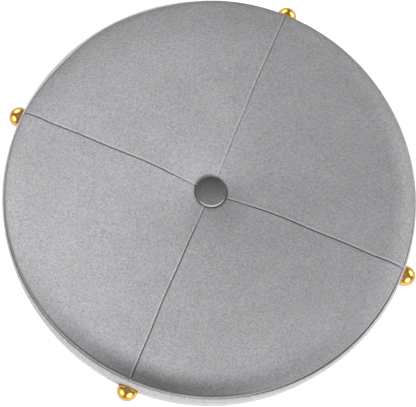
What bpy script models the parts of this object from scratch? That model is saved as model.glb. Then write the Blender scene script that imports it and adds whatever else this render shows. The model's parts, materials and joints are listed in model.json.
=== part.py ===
"""Round storage ottoman: a padded lid that lifts off a velvet tub with four slim gold legs.

Metres, +Z up, origin on the floor under the middle. The legs stand on the X and Y axes.
"""
import math

import bmesh
import bpy
from mathutils import Matrix, Vector

# Driving dimensions
RIM_Z = 0.405            # height of the joint line between lid and tub
LID_R = 0.200            # lid's outside radius at the joint line
DRUM_R = 0.2055          # tub's outside radius at its widest
DRUM_FOOT_R = 0.172      # tub's outside radius at its foot
DRUM_FOOT_Z = 0.070      # underside of the tub
TAPER_TOP_Z = 0.360      # the tub is straight above this height and tapers below it
CLEAR = 0.0003           # gap kept between touching pieces
VELVET = 0.0012          # thickness of the outer fabric
WALL_FOAM = 0.009        # padding round the tub
WALL = 0.005             # bent plywood of the tub
LINING = 0.0010          # thickness of the lining fabric
EASED = 0.0020           # width of the eased edges that fabric is pulled over
BOARD = 0.012            # lid board and base board

# Lid
CROWN = 0.0113           # highest part of the lid above the joint line
DIMPLE_DEPTH = 0.026     # depth of the tufted dip, were it not cut off by the button's seat
DIMPLE_WIDTH = 0.038     # how fast the dip fades outwards
EDGE_ROUND = 0.030       # width of the lid's rounded edge
UNDERCUT = 0.0020        # open height of the joint line at the edge
PLUG_R = 0.1765          # the part of the lid that drops inside the rim
PLUG_DEPTH = 0.0295      # how far it drops below the joint line
BOARD_TOP = 0.016        # top of the lid board below the joint line
FOLD_R = 0.150           # the fabric is folded under the boards to this radius
LID_LINER_R = 0.170

# Rim
BORE_R = 0.1795          # velvet-lined opening at the rim
LEDGE_R = 0.163          # ledge that the lid's board comes to rest on
LEDGE_DEPTH = 0.031
SHOULDER = 0.014         # height of the tub's rounded top edge

# Button and its cord
BUTTON_R = 0.01575
BUTTON_SEAT_R = 0.014
BUTTON_HEIGHT = 0.0075
BUTTON_EDGE = 0.0025
BUTTON_SKIN = 0.0008
SHANK_R = 0.0022
CORD_R = 0.0012
CORD_HOLE_R = 0.0028

# Legs
BALL_R = 0.01025
BALL_DROP = 0.020        # ball's centre below the joint line
POST_R = 0.005
POST_SINK = 0.0025       # how deep a post presses into the padding
STUD_R = 0.003
STUD_LENGTH = 0.008
POST_STRAIGHT_Z = 0.012  # the posts stand upright below this height, in their glides
GLIDE_R = 0.008
GLIDE_HEIGHT = 0.012
GLIDE_FLOOR = 0.003
BOLT_HEIGHTS = (0.345, 0.130)
BOLT_R = 0.0025
BOLT_HEAD_R = 0.0045
BOLT_HEAD = 0.0030
BOLT_STANDOFF = 0.0010   # head stays this clear of the sloping lining

ROUND_STEPS = 40         # a multiple of 8, so that seams, legs and joints fall on corners
SMALL_STEPS = 16
TINY_STEPS = 8
QUARTERS = range(4)
WEDGE_SIZE = 0.5         # larger than anything that a wedge is cut from

VELVET_GREY = (0.36, 0.35, 0.36)
BUTTON_GREY = (0.22, 0.21, 0.22)
FOAM_CREAM = (0.80, 0.74, 0.58)
PLY_BROWN = (0.56, 0.40, 0.25)
LINING_GREY = (0.12, 0.12, 0.13)
GOLD = (0.83, 0.58, 0.20)
STEEL = (0.55, 0.55, 0.56)
BLACK = (0.03, 0.03, 0.03)
TWINE = (0.72, 0.68, 0.58)


def clear_scene():
    for obj in list(bpy.data.objects):
        bpy.data.objects.remove(obj)


def new_collection(name):
    collection = bpy.data.collections.new(name)
    bpy.context.scene.collection.children.link(collection)
    return collection


clear_scene()
PARTS = new_collection("storage_ottoman")
CUTTERS = new_collection("cutters")


def material(name, color, roughness, metallic=0.0):
    made = bpy.data.materials.new(name)
    made.use_nodes = True
    shader = made.node_tree.nodes["Principled BSDF"]
    shader.inputs["Base Color"].default_value = (*color, 1.0)
    shader.inputs["Roughness"].default_value = roughness
    shader.inputs["Metallic"].default_value = metallic
    return made


def link_mesh(name, mesh, finish):
    obj = bpy.data.objects.new(name, mesh)
    PARTS.objects.link(obj)
    if finish:
        mesh.materials.append(finish)
    return obj


def make_cutter(obj):
    PARTS.objects.unlink(obj)
    CUTTERS.objects.link(obj)
    obj.hide_render = True
    obj.display_type = "WIRE"
    return obj


def outline_mesh(name, points, closed):
    """A chain of edges through (radius, height) points in the XZ plane."""
    mesh = bpy.data.meshes.new(name)
    edges = [(i, i + 1) for i in range(len(points) - 1)]
    if closed:
        edges.append((len(points) - 1, 0))
    mesh.from_pydata([(radius, 0.0, height) for radius, height in points], edges, [])
    return mesh


def add_screw(obj, angle, steps):
    screw = obj.modifiers.new("turn", "SCREW")
    screw.axis = "Z"
    screw.angle = angle
    screw.steps = steps
    screw.render_steps = steps
    screw.use_merge_vertices = True
    screw.merge_threshold = 0.00005
    screw.use_smooth_shade = True


def turned(name, points, finish, closed=True, steps=ROUND_STEPS):
    """A body of revolution. The outline runs down its outer side."""
    obj = link_mesh(name, outline_mesh(name, points, closed), finish)
    add_screw(obj, math.tau, steps)
    return obj


def add_solidify(obj, thickness):
    solidify = obj.modifiers.new("thickness", "SOLIDIFY")
    solidify.thickness = thickness
    solidify.offset = -1.0
    solidify.use_even_offset = True


def cut(obj, cutter, operation="DIFFERENCE"):
    boolean = obj.modifiers.new("cut", "BOOLEAN")
    boolean.operation = operation
    boolean.solver = "EXACT"
    boolean.object = cutter


def wedge(name, start_degrees, floor_z):
    """A cutter that holds the quarter turn from start_degrees on, a hair clear of its neighbours."""
    bpy.ops.mesh.primitive_cube_add(size=WEDGE_SIZE)
    obj = bpy.context.active_object
    obj.name = name
    side = WEDGE_SIZE / 2 + CLEAR / 2
    obj.data.transform(Matrix.Translation((side, side, floor_z + WEDGE_SIZE / 2)))
    obj.rotation_euler.z = math.radians(start_degrees)
    for owner in list(obj.users_collection):
        owner.objects.unlink(obj)
    PARTS.objects.link(obj)
    return make_cutter(obj)


def turned_in_quarters(name, points, finish):
    """A body of revolution in four like segments, each with a leg at its middle."""
    segments = []
    for quarter in QUARTERS:
        segment = turned(f"{name}_{quarter + 1}", points, finish)
        cut(segment, wedge(f"{name}_wedge_{quarter + 1}", 90 * quarter - 45, 0.0), "INTERSECT")
        segments.append(segment)
    return segments


def disc(name, radius, bottom, top, finish, steps=ROUND_STEPS):
    return turned(name, [(0.0, top), (radius, top), (radius, bottom), (0.0, bottom)], finish, False, steps)


def arc(center, radii, start, end, count):
    """Points on an ellipse's arc, angles in degrees from +X."""
    points = []
    for i in range(count + 1):
        angle = math.radians(start + (end - start) * i / count)
        points.append((center[0] + radii[0] * math.cos(angle), center[1] + radii[1] * math.sin(angle)))
    return points


def inset(points, distance):
    """The outline moved to its inner side, which is on the right hand of its run."""
    moved = []
    for i, (radius, height) in enumerate(points):
        before = Vector(points[max(i - 1, 0)])
        after = Vector(points[min(i + 1, len(points) - 1)])
        here = Vector((radius, height))
        normals = []
        for run in (here - before, after - here):
            if run.length > 0:
                run.normalize()
                normals.append(Vector((run.y, -run.x)))
        normal = sum(normals, Vector((0.0, 0.0)))
        normal.normalize()
        reach = distance / normal.dot(normals[0])
        moved.append((radius + normal.x * reach, height + normal.y * reach))
    return moved


# Outlines

def lid_top(radius):
    seat = max(radius, BUTTON_SEAT_R)
    return CROWN - DIMPLE_DEPTH * math.exp(-seat / DIMPLE_WIDTH)


def lid_top_outline(start_r):
    """Outside of the lid from near the axis to the joint line."""
    edge_start = LID_R - EDGE_ROUND
    radii = [start_r, BUTTON_SEAT_R]
    radii += [0.022, 0.034, 0.052, 0.080, 0.120]
    points = [(radius, RIM_Z + lid_top(radius)) for radius in radii]
    foot = RIM_Z + UNDERCUT
    crown = lid_top(edge_start) + RIM_Z - foot
    points += arc((edge_start, foot), (EDGE_ROUND, crown), 90, 0, 5)
    return points


def lid_skin_outline():
    """The lid's fabric: over the top, round the edge, down the plug and under the board."""
    under = RIM_Z + UNDERCUT * 0.25
    points = lid_top_outline(0.006)
    points += [(LID_R - 0.003, under), (PLUG_R + 0.002, under), (PLUG_R, under - 0.002)]
    points += [(PLUG_R, RIM_Z - PLUG_DEPTH + 0.002), (PLUG_R - 0.002, RIM_Z - PLUG_DEPTH)]
    points.append((FOLD_R, RIM_Z - PLUG_DEPTH))
    return points


def drum_radius(height):
    """Outside radius of the tub below its rounded shoulder."""
    if height >= TAPER_TOP_Z:
        return DRUM_R
    share = (TAPER_TOP_Z - height) / (TAPER_TOP_Z - DRUM_FOOT_Z)
    return DRUM_R - (DRUM_R - DRUM_FOOT_R) * share


def drum_side_heights():
    lowest = DRUM_FOOT_Z + 0.006
    return [TAPER_TOP_Z, (TAPER_TOP_Z + lowest) / 2, lowest]


def drum_outside():
    """Outside of the tub from the flat of its rim to its lowest edge."""
    rim = RIM_Z - UNDERCUT * 0.75
    flat_r = LID_R - 0.0035
    points = arc((flat_r, rim - SHOULDER), (DRUM_R - flat_r, SHOULDER), 90, 0, 3)
    points += [(drum_radius(height), height) for height in drum_side_heights()]
    return points


def drum_skin_outline():
    """The tub's fabric: up the rim's bore, over the top, down the side and under the base."""
    rim = RIM_Z - UNDERCUT * 0.75
    points = [(BORE_R, RIM_Z - LEDGE_DEPTH + CLEAR), (BORE_R, rim - 0.002), (BORE_R + 0.002, rim)]
    points += drum_outside()
    points += [(DRUM_FOOT_R - 0.004, DRUM_FOOT_Z), (FOLD_R, DRUM_FOOT_Z)]
    return points


def wall_outer(height):
    return drum_radius(height) - VELVET - WALL_FOAM - 2 * CLEAR


def wall_inner(height):
    return wall_outer(height) - WALL


# Lid pieces

def lid_panels(finish):
    """Four wedges of one turned skin, parted along the seams."""
    overlap = math.tau / ROUND_STEPS
    for quarter in QUARTERS:
        name = f"lid_panel_{quarter + 1}"
        panel = link_mesh(name, outline_mesh(name, lid_skin_outline(), False), finish)
        add_screw(panel, math.pi / 2 + 2 * overlap, ROUND_STEPS // 4 + 2)
        panel.rotation_euler.z = math.radians(90 * quarter) - overlap
        add_solidify(panel, VELVET)
        cut(panel, wedge(f"panel_wedge_{quarter + 1}", 90 * quarter, RIM_Z - WEDGE_SIZE / 2), "INTERSECT")


def lid_foam(finish):
    skin = inset(lid_top_outline(CORD_HOLE_R), VELVET + CLEAR)
    under = RIM_Z + UNDERCUT * 0.25 + VELVET + CLEAR
    board_top = RIM_Z - BOARD_TOP + CLEAR
    side = PLUG_R - VELVET - CLEAR
    points = skin[:-1] + [(LID_R - 0.004, under), (side, under), (side, board_top)]
    points.append((CORD_HOLE_R, board_top))
    turned("lid_foam", points, finish)


def lid_board(finish):
    """A disc with a hole for the tufting cord and a recess for its washer."""
    top = RIM_Z - BOARD_TOP
    bottom = top - BOARD
    radius = PLUG_R - VELVET - CLEAR
    recess_r = 0.014
    recess_top = bottom + 0.005
    points = [(CORD_HOLE_R, top), (radius, top), (radius, bottom + EASED), (radius - EASED, bottom)]
    points.append((recess_r, bottom))
    points += [(recess_r, recess_top), (CORD_HOLE_R, recess_top)]
    turned("lid_board", points, finish)
    return bottom, recess_top


def lid_liner(finish):
    top = RIM_Z - PLUG_DEPTH - CLEAR
    disc("lid_liner", LID_LINER_R, top - 0.0008, top, finish)


def button(cover_finish, metal_finish):
    """A fabric cap stretched over a metal former with a shank."""
    seat = RIM_Z + lid_top(0.0) + CLEAR
    edge = seat + BUTTON_EDGE
    dome = BUTTON_HEIGHT - BUTTON_EDGE
    outer = arc((0.0, edge), (BUTTON_R, dome), 90, 0, 5)
    outer[0] = (0.0, edge + dome)
    outer += arc((BUTTON_R - BUTTON_EDGE, edge), (BUTTON_EDGE, BUTTON_EDGE), -45, -90, 1)
    lip = 0.010
    outer.append((lip, seat))
    cover = turned("button_cover", outer, cover_finish, False, 24)
    add_solidify(cover, BUTTON_SKIN)

    shrink = BUTTON_SKIN + CLEAR
    top = arc((0.0, edge), (BUTTON_R - shrink, dome - shrink), 90, 0, 4)
    top[0] = (0.0, edge + dome - shrink)
    back = seat + shrink
    body = top + [(BUTTON_R - BUTTON_EDGE, back), (SHANK_R, back), (SHANK_R, seat - 0.003)]
    body.append((0.0, seat - 0.003))
    turned("button_former", body, metal_finish, False, 24)
    return seat - 0.003


def tuft_cord_and_washer(shank_end, recess_top, cord_finish, metal_finish):
    """The cord runs through foam and board and ends in a knot under the washer."""
    washer_top = recess_top - CLEAR
    washer_bottom = washer_top - 0.0012
    washer_r = 0.011
    hole_r = CORD_R + CLEAR
    washer = [(washer_r, washer_top), (washer_r, washer_bottom), (hole_r, washer_bottom)]
    washer.append((hole_r, washer_top))
    turned("tuft_washer", washer, metal_finish, True, SMALL_STEPS)
    knot_r = 0.0026
    knot_top = washer_bottom - CLEAR
    cord = [(0.0, shank_end - CLEAR), (CORD_R, shank_end - CLEAR), (CORD_R, knot_top)]
    cord += [(knot_r, knot_top), (knot_r, knot_top - 0.0028), (0.0, knot_top - 0.0028)]
    turned("tuft_cord", cord, cord_finish, False, TINY_STEPS)


# Tub pieces

def drum_cover(finish):
    cover = turned("drum_cover", drum_skin_outline(), finish, False)
    add_solidify(cover, VELVET)
    return cover


def drum_foam(finish):
    outer = inset(drum_outside(), VELVET + CLEAR)
    foot = drum_side_heights()[-1] + EASED
    outer[-1] = (drum_radius(foot) - VELVET - CLEAR, foot)
    top = outer[0][1]
    inner_r = wall_outer(TAPER_TOP_Z) + CLEAR
    inner = [(wall_outer(foot) + CLEAR, foot), (inner_r, TAPER_TOP_Z), (inner_r, top)]
    return turned_in_quarters("drum_foam", outer + inner, finish)


def drum_wall(finish):
    """Bent boards, straight above the taper's top and tapered below it."""
    bottom = DRUM_FOOT_Z + VELVET + CLEAR
    top = RIM_Z - UNDERCUT * 0.75 - VELVET - CLEAR
    outer = [(wall_outer(height), height) for height in (top, TAPER_TOP_Z, bottom)]
    inner = [(radius - WALL, height) for radius, height in reversed(outer)]
    return turned_in_quarters("drum_wall", outer + inner, finish)


def rim_segments(finish):
    """Stiffen the rim and carry the ledge that the lid rests on."""
    top = RIM_Z - UNDERCUT * 0.75 - VELVET - CLEAR
    ledge_top = RIM_Z - LEDGE_DEPTH
    bottom = ledge_top - BOARD
    outer = wall_inner(TAPER_TOP_Z) - CLEAR
    bore = BORE_R + VELVET + CLEAR
    points = [(outer, top), (outer, bottom), (LEDGE_R, bottom), (LEDGE_R, ledge_top)]
    points += [(bore, ledge_top), (bore, top - EASED), (bore + EASED, top)]
    turned_in_quarters("rim_segment", points, finish)
    return bottom


def base(ply_finish, lining_finish, dust_finish):
    bottom = DRUM_FOOT_Z + VELVET + CLEAR
    top = bottom + BOARD
    disc("base_board", wall_inner(bottom) - CLEAR, bottom, top, ply_finish)
    floor_bottom = top + CLEAR
    floor_top = floor_bottom + 0.003
    disc("liner_floor", wall_inner(floor_bottom) - CLEAR, floor_bottom, floor_top, lining_finish)
    dust_top = DRUM_FOOT_Z - CLEAR
    disc("dust_cover", FOLD_R + 0.015, dust_top - 0.0008, dust_top, dust_finish)
    return floor_top


def liner_wall(floor_top, ceiling, finish):
    def outer_of(height):
        return wall_inner(height) - CLEAR

    bottom = floor_top + CLEAR
    top = ceiling - CLEAR
    outer = [(outer_of(top), top), (outer_of(bottom), bottom)]
    if top > TAPER_TOP_Z:
        outer.insert(1, (outer_of(TAPER_TOP_Z), TAPER_TOP_Z))
    inner = [(radius - LINING, height) for radius, height in reversed(outer)]
    return turned("liner_wall", outer + inner, finish)


# Legs

def post_radius(height):
    """Distance of a post's centre line from the tub's axis."""
    return drum_radius(max(height, POST_STRAIGHT_Z)) + POST_R - POST_SINK


def at_quarter(obj, quarter):
    obj.rotation_euler.z = math.radians(90 * quarter)
    return obj


def sphere_cutter(radius, center):
    bpy.ops.mesh.primitive_uv_sphere_add(segments=SMALL_STEPS, ring_count=TINY_STEPS, radius=radius)
    obj = bpy.context.active_object
    obj.data.transform(Matrix.Translation(center))
    for owner in list(obj.users_collection):
        owner.objects.unlink(obj)
    PARTS.objects.link(obj)
    return make_cutter(obj)


def radial_rod(name, radius, start, end, height, finish, steps):
    """A round rod that runs outwards along X from start to end."""
    mesh = bpy.data.meshes.new(name)
    shape = bmesh.new()
    length = end - start
    bmesh.ops.create_cone(
        shape, cap_ends=True, segments=steps, radius1=radius, radius2=radius, depth=length)
    place = Matrix.Translation(((start + end) / 2, 0.0, height)) @ Matrix.Rotation(math.pi / 2, 4, "Y")
    bmesh.ops.transform(shape, matrix=place, verts=shape.verts)
    shape.to_mesh(mesh)
    shape.free()
    return link_mesh(name, mesh, finish)


def ball_finial(quarter, finish):
    """A ball that stands on its post, with a stud down into the post's bore."""
    center_z = RIM_Z - BALL_DROP
    neck = math.degrees(math.asin(POST_R / BALL_R))
    points = arc((0.0, center_z), (BALL_R, BALL_R), 90, neck - 90, 9)
    points[0] = (0.0, center_z + BALL_R)
    neck_z = points[-1][1]
    points += [(STUD_R, neck_z), (STUD_R, neck_z - STUD_LENGTH), (0.0, neck_z - STUD_LENGTH)]
    ball = turned(f"ball_finial_{quarter + 1}", points, finish, False, SMALL_STEPS)
    angle = math.radians(90 * quarter)
    radius = post_radius(center_z)
    ball.location = (radius * math.cos(angle), radius * math.sin(angle), 0.0)
    return neck_z


def curve_as_mesh(curve_object, name, finish):
    """The tube's evaluated mesh with its loose caps welded on."""
    graph = bpy.context.evaluated_depsgraph_get()
    mesh = bpy.data.meshes.new_from_object(curve_object.evaluated_get(graph))
    shape = bmesh.new()
    shape.from_mesh(mesh)
    bmesh.ops.remove_doubles(shape, verts=shape.verts, dist=0.00001)
    shape.to_mesh(mesh)
    shape.free()
    obj = link_mesh(name, mesh, finish)
    obj.matrix_world = curve_object.matrix_world
    bpy.data.objects.remove(curve_object)
    return obj


def post_tube(name, radius, top, bottom, finish):
    """A round rod along a post's centre line."""
    heights = [top, TAPER_TOP_Z, POST_STRAIGHT_Z, bottom]
    curve = bpy.data.curves.new("post_path", "CURVE")
    curve.dimensions = "3D"
    curve.bevel_depth = radius
    curve.bevel_resolution = 2
    curve.use_fill_caps = True
    spline = curve.splines.new("POLY")
    spline.points.add(len(heights) - 1)
    for point, height in zip(spline.points, heights):
        point.co = (post_radius(height), 0.0, height, 1.0)
    path = bpy.data.objects.new("post_path", curve)
    PARTS.objects.link(path)
    return curve_as_mesh(path, name, finish)


def leg_post(quarter, top, finish):
    """A slim rod that follows the tub's side, stands on the floor and has a bore for the ball's stud."""
    post = post_tube(f"leg_post_{quarter + 1}", POST_R, top, GLIDE_FLOOR + CLEAR, finish)
    at_quarter(post, quarter)
    bore_depth = STUD_LENGTH + 0.0005
    bore = disc(f"stud_bore_{quarter + 1}", STUD_R + CLEAR, top - bore_depth, top + 0.002, None, TINY_STEPS)
    angle = math.radians(90 * quarter)
    radius = post_radius(top)
    bore.location = (radius * math.cos(angle), radius * math.sin(angle), 0.0)
    cut(post, make_cutter(bore))
    return post


def leg_glide(quarter, finish):
    """A cup that the post stands in."""
    inner = POST_R + CLEAR
    points = [(inner, GLIDE_HEIGHT), (GLIDE_R, GLIDE_HEIGHT), (GLIDE_R, 0.0), (0.0, 0.0)]
    points = [(0.0, GLIDE_FLOOR), (inner, GLIDE_FLOOR)] + points
    glide = turned(f"leg_glide_{quarter + 1}", points, finish, False, SMALL_STEPS)
    angle = math.radians(90 * quarter)
    radius = post_radius(0.0)
    glide.location = (radius * math.cos(angle), radius * math.sin(angle), 0.0)


def leg_bolt(number, quarter, height, finish):
    """A round-headed bolt from inside the tub through its wall into the post."""
    head_end = wall_inner(height) - CLEAR - LINING - BOLT_STANDOFF
    tip = post_radius(height) + 0.0015
    head = [(0.0, BOLT_HEAD), (BOLT_HEAD_R * 0.7, BOLT_HEAD), (BOLT_HEAD_R, BOLT_HEAD * 0.5)]
    head += [(BOLT_HEAD_R, 0.0), (BOLT_R, 0.0), (BOLT_R, head_end - tip), (0.0, head_end - tip)]
    bolt = turned(f"leg_bolt_{number}", head, finish, False, TINY_STEPS)
    turn = math.radians(90 * quarter)
    bolt.location = (head_end * math.cos(turn), head_end * math.sin(turn), height)
    bolt.rotation_euler = (0.0, -math.pi / 2, turn)
    start = head_end - 0.002
    hole = radial_rod(f"bolt_hole_{number}", BOLT_R + CLEAR, start, tip + CLEAR, height, None, TINY_STEPS)
    return at_quarter(make_cutter(hole), quarter)


def build_legs(gold, steel, rubber, drilled):
    """Four legs. The drilled pieces behind each leg let its bolts through."""
    number = 0
    for quarter in QUARTERS:
        neck_z = ball_finial(quarter, gold)
        post = leg_post(quarter, neck_z - CLEAR, gold)
        leg_glide(quarter, rubber)
        for height in BOLT_HEIGHTS:
            number += 1
            hole = leg_bolt(number, quarter, height, steel)
            for piece in drilled[quarter] + [post]:
                cut(piece, hole)


def dent_padding(cover, paddings):
    """The balls and posts press into the padded side."""
    center_z = RIM_Z - BALL_DROP
    for quarter in QUARTERS:
        ball_room = sphere_cutter(BALL_R + CLEAR, (post_radius(center_z), 0.0, center_z))
        post_room = post_tube(f"post_room_{quarter + 1}", POST_R + CLEAR, center_z, 0.0, None)
        for room in (ball_room, make_cutter(post_room)):
            at_quarter(room, quarter)
            cut(cover, room)
            cut(paddings[quarter], room)


def build_lid(velvet, button_velvet, foam, ply, lining, steel, twine):
    lid_panels(velvet)
    lid_foam(foam)
    recess_top = lid_board(ply)[1]
    lid_liner(lining)
    shank_end = button(button_velvet, steel)
    tuft_cord_and_washer(shank_end, recess_top, twine, steel)


def build_tub(velvet, foam, ply, lining, dust):
    """The tub's pieces. Those behind each leg, which its bolts go through, are returned."""
    cover = drum_cover(velvet)
    paddings = drum_foam(foam)
    walls = drum_wall(ply)
    ceiling = rim_segments(ply)
    floor_top = base(ply, lining, dust)
    lining_tube = liner_wall(floor_top, ceiling, lining)
    dent_padding(cover, paddings)
    return [[cover, paddings[quarter], walls[quarter], lining_tube] for quarter in QUARTERS]


def build():
    velvet = material("velvet", VELVET_GREY, 0.9)
    button_velvet = material("button_velvet", BUTTON_GREY, 0.9)
    foam = material("foam", FOAM_CREAM, 0.95)
    ply = material("plywood", PLY_BROWN, 0.6)
    lining = material("lining", LINING_GREY, 0.9)
    dust = material("dust_cloth", BLACK, 0.95)
    gold = material("gold", GOLD, 0.15, 1.0)
    steel = material("steel", STEEL, 0.35, 1.0)
    rubber = material("rubber", BLACK, 0.7)
    twine = material("twine", TWINE, 0.9)
    build_lid(velvet, button_velvet, foam, ply, lining, steel, twine)
    drilled = build_tub(velvet, foam, ply, lining, dust)
    build_legs(gold, steel, rubber, drilled)


build()
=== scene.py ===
"""Looks of the round velvet storage ottoman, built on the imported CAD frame.

Metres, +Z up. The legs, the lid's seams and the balls stand on the X and Y axes.
"""
import json
import math

import bpy
import numpy as np
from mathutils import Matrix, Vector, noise


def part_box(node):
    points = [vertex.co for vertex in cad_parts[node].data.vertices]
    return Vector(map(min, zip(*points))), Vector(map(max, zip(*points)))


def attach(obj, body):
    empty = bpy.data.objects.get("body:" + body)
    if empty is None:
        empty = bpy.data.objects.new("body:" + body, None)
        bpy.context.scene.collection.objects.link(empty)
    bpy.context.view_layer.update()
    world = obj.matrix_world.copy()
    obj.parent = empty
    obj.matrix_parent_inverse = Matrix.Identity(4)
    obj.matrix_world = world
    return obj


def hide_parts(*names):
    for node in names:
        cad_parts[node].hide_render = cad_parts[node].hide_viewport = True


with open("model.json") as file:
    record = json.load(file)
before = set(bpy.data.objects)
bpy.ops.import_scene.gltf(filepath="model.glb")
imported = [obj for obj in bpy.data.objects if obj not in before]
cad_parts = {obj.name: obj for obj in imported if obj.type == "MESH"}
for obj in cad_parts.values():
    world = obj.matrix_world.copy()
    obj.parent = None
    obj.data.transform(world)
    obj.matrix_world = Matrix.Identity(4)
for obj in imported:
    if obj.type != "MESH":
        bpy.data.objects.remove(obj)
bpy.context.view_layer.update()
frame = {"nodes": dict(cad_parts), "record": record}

MM = 0.001

# Sizes read from the frame
LID_LOW, LID_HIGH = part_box("lid_panel_1")
TUB_LOW, TUB_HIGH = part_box("drum_cover")
BUTTON_LOW, BUTTON_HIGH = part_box("button_cover")
BALL_LOW, BALL_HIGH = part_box("ball_finial_1")
POST_LOW, POST_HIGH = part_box("leg_post_1")
GLIDE_LOW, GLIDE_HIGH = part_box("leg_glide_1")
RING_LOW, RING_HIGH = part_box("rim_segment_1")
LINING_LOW, LINING_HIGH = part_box("liner_wall")
_, FLOOR_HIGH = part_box("liner_floor")
DUST_LOW, DUST_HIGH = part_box("dust_cover")
LID_LINER_LOW, LID_LINER_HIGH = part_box("lid_liner")

LID_R = LID_HIGH.x
TUB_R = TUB_HIGH.x
RIM_Z = TUB_HIGH.z + 1.5 * MM
BUTTON_R = BUTTON_HIGH.x
BUTTON_TOP = BUTTON_HIGH.z
BALL_R = (BALL_HIGH.y - BALL_LOW.y) / 2
BALL_AXIS = (BALL_LOW.x + BALL_HIGH.x) / 2
BALL_Z = BALL_HIGH.z - BALL_R
POST_R = (POST_HIGH.y - POST_LOW.y) / 2
TUB_FOOT_Z = TUB_LOW.z
LINER_R = LID_LINER_HIGH.x

# Shape of the upholstery, as in the frame
CROWN = 11.3 * MM
DIMPLE_DEPTH = 26 * MM
DIMPLE_WIDTH = 38 * MM
BUTTON_SEAT_R = 14 * MM
EDGE_ROUND = 30 * MM
LID_EDGE_LIFT = 2 * MM
PLUG_R = 176.5 * MM
FOLD_R = 150 * MM
BORE_R = 179.5 * MM
RIM_FLAT_R = 196.5 * MM
SHOULDER = 14 * MM
TAPER_TOP_Z = 360 * MM
TUB_FOOT_R = 172 * MM
POST_STRAIGHT_Z = 12 * MM
POST_SINK = 2.5 * MM
VELVET = 1.2 * MM
HALF_GAP = 0.15 * MM
EDGE_FULLNESS = 0.78     # 1 is an ellipse, and less is squarer at the lid's edge

QUARTERS = range(4)
SPOKE_OFFSETS = (0, 0.1, 0.22, 0.36, 0.55, 0.8, 1.1, 1.5, 2.0, 2.6, 3.4, 4.4, 5.6, 7.0, 8.6)
WIDE_SPOKE = 1.75        # degrees between spokes away from the seams


# Meshes

def paint(piece, values):
    """A number from 0 to 1 for each point, which the velvet reads as painted light and shade: darker towards
    0, lighter towards 1.
    """
    layer = piece.data.attributes.new("painted_light", "FLOAT", "POINT")
    layer.data.foreach_set("value", np.clip(values, 0.0, 1.0).astype(np.float32).ravel())


def link_mesh(name, points, faces, finish, smooth=True):
    mesh = bpy.data.meshes.new(name)
    mesh.from_pydata([tuple(point) for point in points], [], faces)
    mesh.materials.append(finish)
    if smooth:
        mesh.shade_smooth()
    obj = bpy.data.objects.new(name, mesh)
    bpy.context.scene.collection.objects.link(obj)
    return obj


def quarter_spokes():
    """Angles from one seam to the next, dense beside both."""
    near = [math.radians(offset) for offset in SPOKE_OFFSETS]
    span = math.pi / 2 - 2 * near[-1]
    count = round(math.degrees(span) / WIDE_SPOKE)
    middle = [near[-1] + span * i / count for i in range(1, count)]
    far = [math.pi / 2 - angle for angle in reversed(near)]
    return np.array(near + middle + far)


def round_spokes():
    """Angles all the way round, dense beside the four legs."""
    quarter = quarter_spokes()[:-1]
    return np.concatenate([quarter + math.pi / 2 * turn for turn in QUARTERS])


def even_spokes(count):
    return np.arange(count) * math.tau / count


def grid_faces(rows, columns, closed):
    """Quads of a grid whose rows follow one another. A closed grid joins its last column to its first."""
    faces = []
    for row in range(rows - 1):
        for column in range(columns if closed else columns - 1):
            after = (column + 1) % columns
            a = row * columns + column
            b = row * columns + after
            faces.append((a, b, b + columns, a + columns))
    return faces


def tube_faces(rows, columns):
    """Faces of a closed grid that look outward, with a cap on both ends."""
    faces = [tuple(reversed(face)) for face in grid_faces(rows, columns, True)]
    faces.append(tuple(range(columns)))
    faces.append(tuple(reversed(range((rows - 1) * columns, rows * columns))))
    return faces


def turned(name, outline, spokes, finish, closed=True, shape=None):
    """A skin turned from (radius, height) points. The outline runs down its outer side."""
    outline = np.asarray(outline)
    radius, angle = np.meshgrid(outline[:, 0], spokes, indexing="ij")
    height = np.repeat(outline[:, 1:], len(spokes), axis=1)
    if shape:
        radius, height = shape(radius, angle, height)
    points = np.stack([radius * np.cos(angle), radius * np.sin(angle), height], axis=-1)
    faces = grid_faces(len(outline), len(spokes), closed)
    faces = [tuple(reversed(face)) for face in faces]
    return link_mesh(name, points.reshape(-1, 3), faces, finish)


def arc(center, radii, start, end, count):
    """Points on an ellipse's arc, angles in degrees from the outward direction."""
    angles = np.radians(np.linspace(start, end, count + 1))
    return [(center[0] + radii[0] * math.cos(a), center[1] + radii[1] * math.sin(a)) for a in angles]


def resampled(points, step):
    """The outline with evenly spaced points."""
    points = np.asarray(points, float)
    lengths = np.linalg.norm(np.diff(points, axis=0), axis=1)
    along = np.concatenate([[0.0], np.cumsum(lengths)])
    count = max(2, round(along[-1] / step))
    wanted = np.linspace(0.0, along[-1], count + 1)
    return np.stack([np.interp(wanted, along, points[:, i]) for i in range(2)], axis=1)


def read_points(piece):
    points = np.empty(len(piece.data.vertices) * 3)
    piece.data.vertices.foreach_get("co", points)
    return points.reshape(-1, 3)


def write_points(piece, points):
    piece.data.vertices.foreach_set("co", points.ravel())
    piece.data.update()


def turn_points(points, turn):
    """Turns points about +Z, all by one angle or each by its own."""
    cosine, sine = np.cos(turn), np.sin(turn)
    across = points[:, 0] * cosine - points[:, 1] * sine
    points[:, 1] = points[:, 0] * sine + points[:, 1] * cosine
    points[:, 0] = across


def turn_to_leg(piece, quarter):
    """Turns a mesh made at the first leg to another one. The object itself stays at the origin."""
    points = read_points(piece)
    turn_points(points, math.pi / 2 * quarter)
    write_points(piece, points)


def move_to_leg(piece, distance, quarter):
    """Moves a mesh made on the axis out to a leg. The object itself stays at the origin."""
    turn = math.pi / 2 * quarter
    points = read_points(piece)
    points[:, 0] += distance * math.cos(turn)
    points[:, 1] += distance * math.sin(turn)
    write_points(piece, points)


def flip_faces(piece):
    for polygon in piece.data.polygons:
        polygon.flip()
    piece.data.update()


def smooth_noise(points, scale, seed):
    """Noise from -1 to 1 at each point, the same each run."""
    return np.array([noise.noise((p[0] * scale + seed, p[1] * scale, p[2] * scale)) for p in points])


# Materials

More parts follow.
